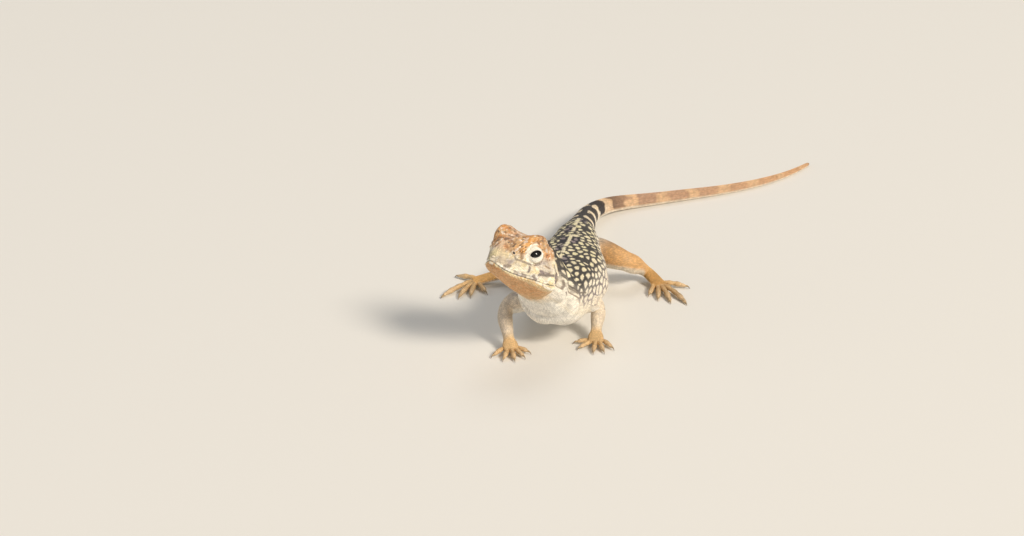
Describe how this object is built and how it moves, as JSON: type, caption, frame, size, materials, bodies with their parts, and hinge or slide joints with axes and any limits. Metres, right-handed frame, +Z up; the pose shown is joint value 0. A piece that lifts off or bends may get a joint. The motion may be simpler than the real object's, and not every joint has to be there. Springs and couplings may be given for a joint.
{
  "type": "central netted dragon lizard",
  "caption": "Small short-headed desert dragon lizard, still, standing with its head raised and turned to its right and its tail bent to its left.",
  "frame": {"origin": "on the floor under the middle of the whole animal's box", "axes": "+Z up, the trunk runs along Y with the head towards -Y, and the animal's left side is +X"},
  "size_m": [0.1024, 0.1922, 0.0428],
  "materials": {
    "head": "fine dry scales, orange-tan above and cream on the cheeks",
    "eye": "wet, glossy, nearly black",
    "body": "dry scales, cream spots in a dark blue-grey net",
    "tail": "dry keeled scales, pale tan with faint bands",
    "limb": "dry scales, tan to orange",
    "foot": "dry scales, golden yellow, with dark claws"
  },
  "bodies": {
    "root": {"head": "head", "eye_left": "eye", "eye_right": "eye", "neck": "body", "torso": "body", "tail_base": "body", "tail_middle": "tail", "tail_tip": "tail", "upper_arm_left": "limb", "forearm_left": "limb", "hand_left": "foot", "upper_arm_right": "limb", "forearm_right": "limb", "hand_right": "foot", "thigh_left": "limb", "shank_left": "limb", "foot_left": "foot", "thigh_right": "limb", "shank_right": "limb", "foot_right": "foot"}
  },
  "joints": []
}
